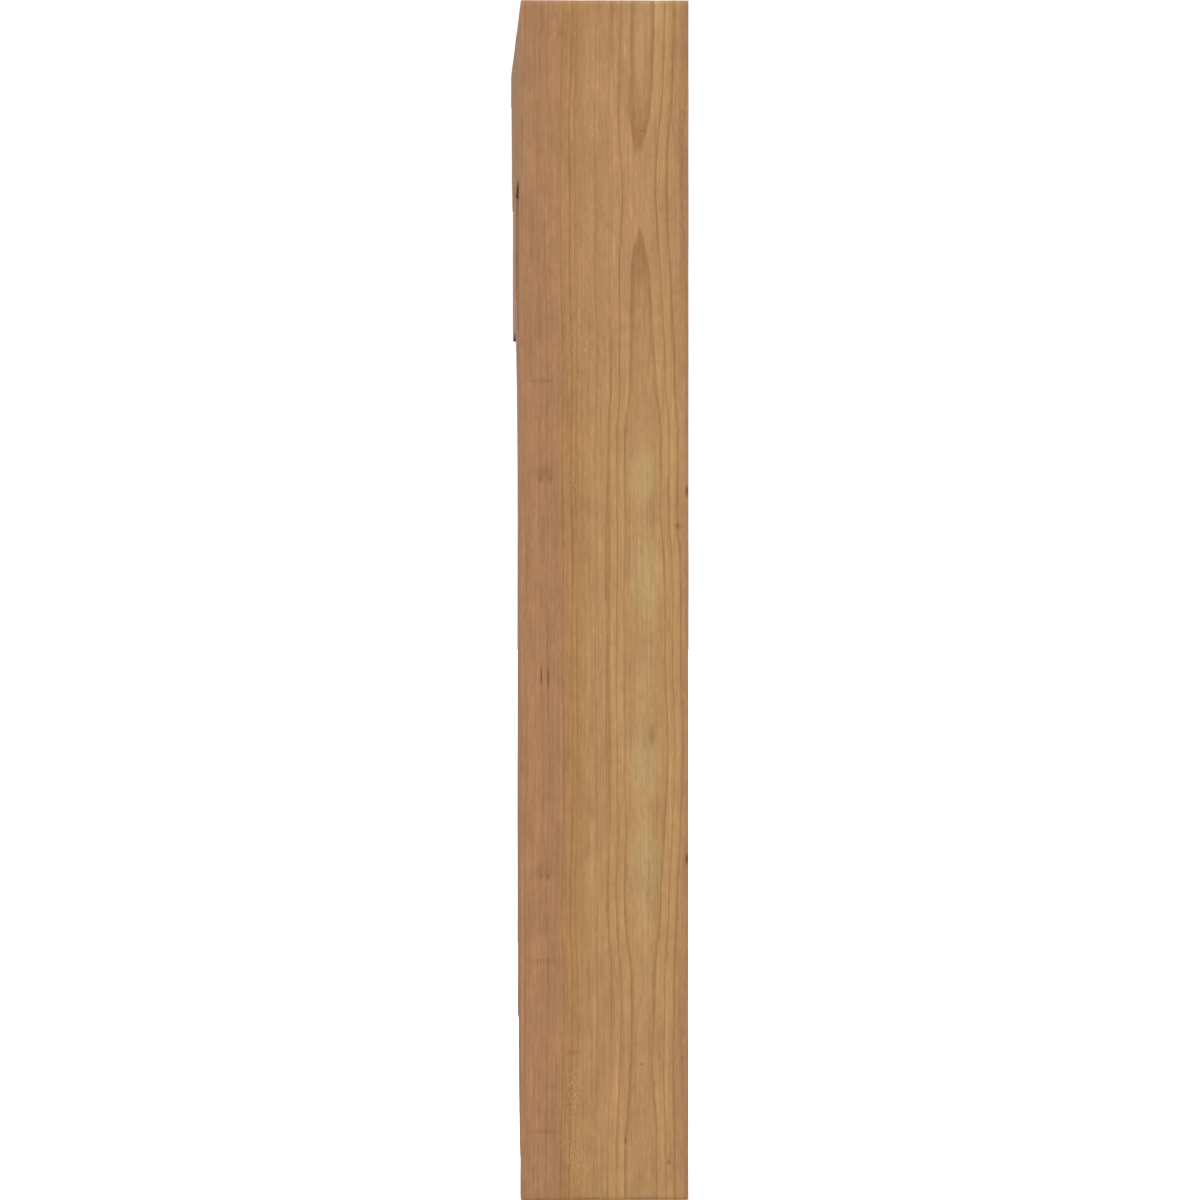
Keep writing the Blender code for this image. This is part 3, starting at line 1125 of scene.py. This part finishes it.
POST_AXES = Matrix(((0, 0, -1, 0), (0, -1, 0, 0), (-1, 0, 0, 0), (0, 0, 0, 1)))
BEAM_AXES = Matrix(((0, 0, 1, 0), (-1, 0, 0, 0), (0, -1, 0, 0), (0, 0, 0, 1)))
post_mesh = moulded_mesh("wall_post", HEIGHT, POST_DEPTH,
                         Matrix.Translation((0, post_high.y, post_high.z)) @ POST_AXES)
beam_mesh = moulded_mesh("top_beam", BEAM_LENGTH, BEAM_DEPTH,
                         Matrix.Translation((0, beam_high.y, beam_high.z)) @ BEAM_AXES)
finish_timber("wall_post", post_mesh, 1.0)
finish_timber("top_beam", beam_mesh, 2.0)

# %% [markdown]
# ## The curved brace
# This shape follows no simple rule: it is an outline drawn on a thick plank and cut with a band saw.
# So its outline is listed corner by corner, with two arcs from one centre. The inner arc closes the
# window, the outer one is the open hollow, and the timber between them is the waist.

# %% Brace
ARC_STEP = radians(2.0)


def arc(centre, radius, start, end):
    """Points on a circle from one angle to another, both ends included."""
    steps = ceil(abs(end - start) / ARC_STEP)
    turns = [start + (end - start) * step / steps for step in range(steps + 1)]
    return [(centre[0] + radius * cos(turn), centre[1] + radius * sin(turn)) for turn in turns]


def brace_outline():
    """The brace seen from its side: out from the post and up from the beam's underside."""
    centre = (HEEL_DEPTH + ARC_RADIUS, -(NOSE_DROP + ARC_RADIUS))
    hollow_start = acos(min(BRACE_REACH - centre[0], 0.0) / ARC_RADIUS)
    foot_top = FOOT_LENGTH - BRACE_LENGTH
    nose = [(WINDOW_REACH, 0.0), (BRACE_REACH, 0.0), (BRACE_REACH, -NOSE_DROP)]
    leg = [(HEEL_DEPTH + LEG_FLARE, foot_top), (FOOT_DEPTH, foot_top)]
    foot = [(FOOT_DEPTH, -BRACE_LENGTH), (0.0, -BRACE_LENGTH), (0.0, -WINDOW_DROP)]
    inner = ARC_RADIUS + WAIST
    sill_end = pi - asin((-WINDOW_DROP - centre[1]) / inner)
    side_end = acos((WINDOW_REACH - centre[0]) / inner)
    hollow = arc(centre, ARC_RADIUS, hollow_start, pi)
    window = arc(centre, inner, sill_end, side_end)
    return nose + hollow + leg + foot + window


def sawn_mesh(name, outline, place):
    """Give a flat outline the thickness of the timber and ease its arrises."""
    work = bmesh.new()
    side = work.faces.new([work.verts.new((out, up, -WIDTH / 2)) for out, up in outline])
    sawn = bmesh.ops.extrude_face_region(work, geom=[side])["geom"]
    far_side = [item for item in sawn if isinstance(item, bmesh.types.BMVert)]
    bmesh.ops.translate(work, verts=far_side, vec=(0.0, 0.0, WIDTH))
    bmesh.ops.recalc_face_normals(work, faces=work.faces[:])
    mesh = bpy.data.meshes.new(name)
    work.to_mesh(mesh)
    work.free()
    holder = link(bpy.data.objects.new(name, mesh))
    add_bevel(holder)
    mesh = frozen(holder, name + "_sharp")
    mesh.transform(place)
    return mesh


BRACE_AXES = Matrix(((0, 0, -1, 0), (-1, 0, 0, 0), (0, 1, 0, 0), (0, 0, 0, 1)))
brace_corner = Matrix.Translation((0.0, brace_high.y, brace_high.z))
brace_mesh = sawn_mesh("curved_brace", brace_outline(), brace_corner @ BRACE_AXES)
finish_timber("curved_brace", brace_mesh, 3.0)

# %% [markdown]
# ## Floor and light
# The photograph has plain white all round. A wide pale floor under an even sky and one broad sun
# gives that: the sun stands high on the camera's side, so it lights the face and the floor evenly,
# and a weaker one keeps the far side from going dark. The sky is brighter for the camera than for the
# wood, which keeps the background white.

# %% Floor, sun and sky
FLOOR_SIZE = 200.0
FLOOR_DROP = 0.0005
SUN_SPREAD = 60.0
SUNS = {
    "sun": ((radians(-31.0), radians(6.0), 0.0), 2.15),
    "fill": ((radians(50.0), radians(-8.0), 0.0), 0.9),
}
SKY_LIGHT = 0.94
SKY_SEEN = 1.05
FLOOR_SEEN = 0.95
FLOOR_BOUNCE = 0.18
FLOOR_GLOW = 0.3


def grey(value):
    """A colour of equal red, green and blue."""
    return (value, value, value, 1.0)


def make_floor():
    """A pale floor that reaches the horizon."""
    work = bmesh.new()
    bmesh.ops.create_grid(work, x_segments=1, y_segments=1, size=FLOOR_SIZE / 2)
    mesh = bpy.data.meshes.new("floor")
    work.to_mesh(mesh)
    work.free()
    mesh.transform(Matrix.Translation((0.0, 0.0, post_low.z - FLOOR_DROP)))
    material = bpy.data.materials.new("pale_floor")
    material.use_nodes = True
    shader = material.node_tree.nodes["Principled BSDF"]
    tree = material.node_tree
    seen = add(tree, "ShaderNodeLightPath").outputs["Is Camera Ray"]
    plug(tree, shader.inputs["Base Color"], mixed(tree, seen, grey(FLOOR_BOUNCE), grey(FLOOR_SEEN)))
    shader.inputs["Emission Color"].default_value = grey(1.0)
    plug(tree, shader.inputs["Emission Strength"], maths(tree, "MULTIPLY", seen, FLOOR_GLOW))
    shader.inputs["Roughness"].default_value = 1.0
    shader.inputs["Specular IOR Level"].default_value = 0.0
    mesh.materials.append(material)
    return link(bpy.data.objects.new("floor", mesh))


def make_sky():
    """An even white sky. Only camera rays see it at full brightness."""
    world = bpy.data.worlds.new("white_sky")
    bpy.context.scene.world = world
    world.use_nodes = True
    tree = world.node_tree
    seen = add(tree, "ShaderNodeLightPath").outputs["Is Camera Ray"]
    background = tree.nodes["Background"]
    background.inputs["Color"].default_value = grey(1.0)
    strength = maths(tree, "MULTIPLY_ADD", seen, SKY_SEEN - SKY_LIGHT, SKY_LIGHT)
    plug(tree, background.inputs["Strength"], strength)


make_floor()
make_sky()
for name, (turn, strength) in SUNS.items():
    sun = link(bpy.data.objects.new(name, bpy.data.lights.new(name, "SUN")))
    sun.data.energy = strength
    sun.data.angle = radians(SUN_SPREAD)
    sun.rotation_euler = turn
    print(name, "strength", strength)
bpy.context.scene.view_settings.view_transform = "Standard"

# %% [markdown]
# ## Finish
# The view layer is brought up to date.

# %% Finish
bpy.context.view_layer.update()
